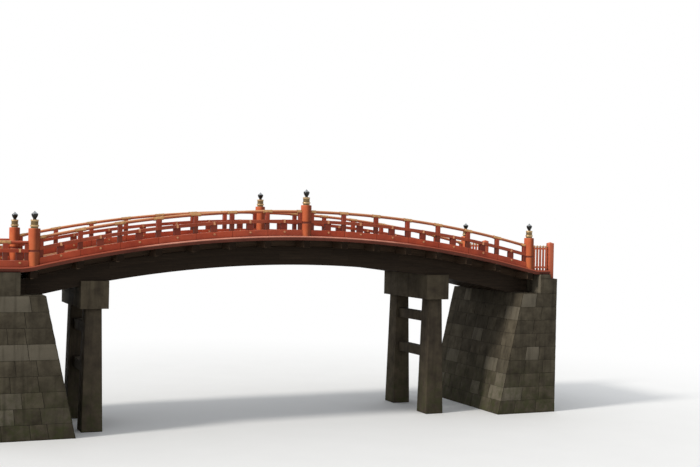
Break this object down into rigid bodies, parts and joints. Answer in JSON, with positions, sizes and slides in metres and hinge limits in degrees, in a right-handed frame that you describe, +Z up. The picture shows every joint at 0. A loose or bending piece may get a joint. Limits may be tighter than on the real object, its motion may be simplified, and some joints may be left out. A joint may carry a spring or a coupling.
{
  "type": "moon bridge",
  "caption": "Arched timber footbridge in vermilion and black lacquer, with onion-topped newels, metal sleeved railings, two stone trestle piers and two squared stone abutments.",
  "frame": {"origin": "middle of the whole length and width, on the level of the piers' feet", "axes": "+X along the bridge towards the right-hand bank of the picture, +Y across it to the far side, +Z up"},
  "size_m": [30.3226, 7.52, 11.615],
  "materials": {
    "deck_wood": "weathered boards, red-brown",
    "black_lacquer": "black lacquered boarding, satin",
    "red_lacquer": "vermilion lacquer, weathered satin",
    "gilt_brass": "gilt sheet metal, satin",
    "dark_bronze": "blackened bronze, semi-gloss",
    "pier_stone": "dressed granite, weathered",
    "abutment_stone": "squared stone, stained dark"
  },
  "bodies": {
    "root": {"deck_boards": "deck_wood", "joists": "black_lacquer", "cross_beams": "black_lacquer", "outer_girders": "black_lacquer", "inner_girders": "black_lacquer", "edge_beam_near": "red_lacquer", "edge_beam_far": "red_lacquer", "base_rail_near": "red_lacquer", "base_rail_far": "red_lacquer", "middle_rail_near": "red_lacquer", "middle_rail_far": "red_lacquer", "top_rail_near": "red_lacquer", "top_rail_far": "red_lacquer", "rail_sleeves_near": "gilt_brass", "rail_sleeves_far": "gilt_brass", "full_posts_near": "red_lacquer", "full_posts_far": "red_lacquer", "short_posts_near": "red_lacquer", "short_posts_far": "red_lacquer", "newel_near_left": "red_lacquer", "newel_near_middle": "red_lacquer", "newel_near_right": "red_lacquer", "newel_far_left": "red_lacquer", "newel_far_middle": "red_lacquer", "newel_far_right": "red_lacquer", "finial_near_left": "dark_bronze", "finial_near_middle": "dark_bronze", "finial_near_right": "dark_bronze", "finial_far_left": "dark_bronze", "finial_far_middle": "dark_bronze", "finial_far_right": "dark_bronze", "left_wing_railing_near": "red_lacquer", "left_wing_railing_far": "red_lacquer", "right_wing_fence_near": "red_lacquer", "right_wing_fence_far": "red_lacquer", "right_end_posts": "red_lacquer", "left_pier_posts": "pier_stone", "left_pier_ties": "pier_stone", "left_pier_cap": "pier_stone", "right_pier_posts": "pier_stone", "right_pier_ties": "pier_stone", "right_pier_cap": "pier_stone", "left_abutment": "abutment_stone", "right_abutment": "abutment_stone"}
  },
  "joints": []
}
